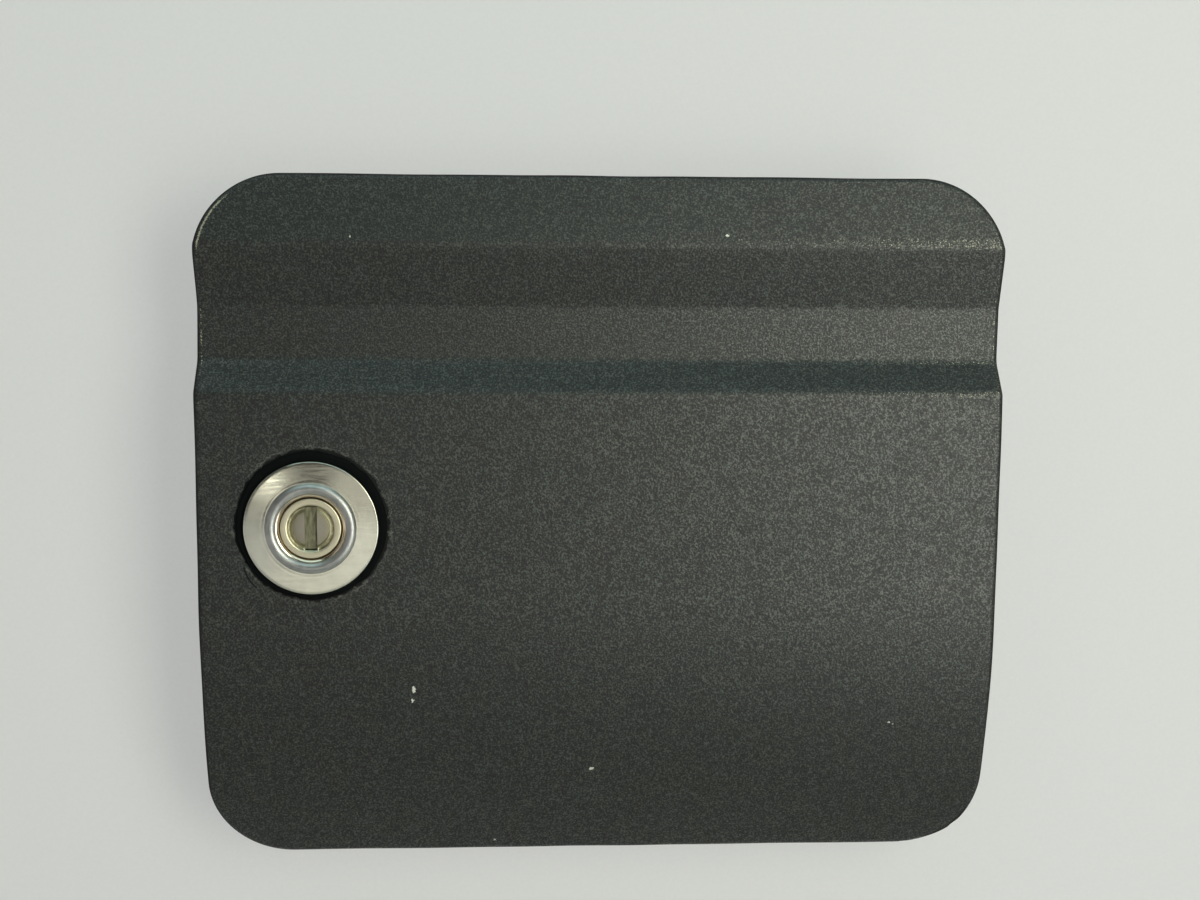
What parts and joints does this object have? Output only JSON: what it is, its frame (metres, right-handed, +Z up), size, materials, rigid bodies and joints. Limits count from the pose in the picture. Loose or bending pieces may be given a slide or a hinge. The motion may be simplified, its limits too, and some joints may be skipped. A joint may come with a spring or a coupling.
{
  "type": "car fuel door",
  "caption": "Locking car fuel door: hemmed steel panel with a pressed channel, ring lock with cam at one side and a sprung hinge with screw-on bracket at the other.",
  "frame": {"origin": "centre of the two hinge screws' pattern on the hinge bracket's mounting face", "axes": "+Z up along the hinge pin, +Y into the car, square to the mounting face, +X to the right as seen from outside the car"},
  "size_m": [0.1635, 0.0317, 0.142],
  "materials": {
    "black_paint": "satin textured stone-chip paint",
    "plated_steel": "zinc plated",
    "spring_steel": "oiled spring wire",
    "polished_steel": "polished stainless",
    "zinc_casting": "die-cast zinc",
    "wafer_brass": "stamped",
    "shutter_steel": "dull olive",
    "black_rubber": "matt"
  },
  "bodies": {
    "bracket": {"hinge_bracket": "plated_steel", "hinge_pin": "plated_steel", "pin_clip": "spring_steel", "closing_spring": "spring_steel"},
    "door": {"outer_skin": "black_paint", "inner_panel": "black_paint", "hinge_arm": "plated_steel", "hinge_rivets": "plated_steel", "rubber_bumpers": "black_rubber", "lock_gasket": "black_rubber", "lock_rosette": "polished_steel", "lock_housing": "zinc_casting", "lock_washer": "plated_steel", "lock_nut": "plated_steel"},
    "plug": {"lock_plug": "zinc_casting", "plug_cap": "polished_steel", "lock_wafers": "wafer_brass", "wafer_springs": "spring_steel", "lock_cam": "plated_steel", "cam_washer": "plated_steel", "cam_screw": "plated_steel", "shutter_pin": "spring_steel", "shutter_spring": "spring_steel"},
    "shutter": {"dust_shutter": "shutter_steel"}
  },
  "joints": [
    {"name": "door_hinge", "type": "hinge", "parent": "bracket", "child": "door", "pos_m": [0.024, -0.014, 0], "axis": [0, 0, 1], "range_deg": [0, 95], "stiffness_Nm_per_rad": 0.04, "springref_deg": -34.38, "deforming": ["closing_spring"]},
    {"name": "lock_turn", "type": "hinge", "parent": "door", "child": "plug", "pos_m": [-0.096, 0, -0.003], "axis": [0, 1, 0], "range_deg": [0, 90]},
    {"name": "shutter_swing", "type": "hinge", "parent": "plug", "child": "shutter", "pos_m": [-0.0937, -0.0288, -0.003], "axis": [0, 0, -1], "range_deg": [0, 78], "stiffness_Nm_per_rad": 0.0002, "springref_deg": -22.92}
  ]
}
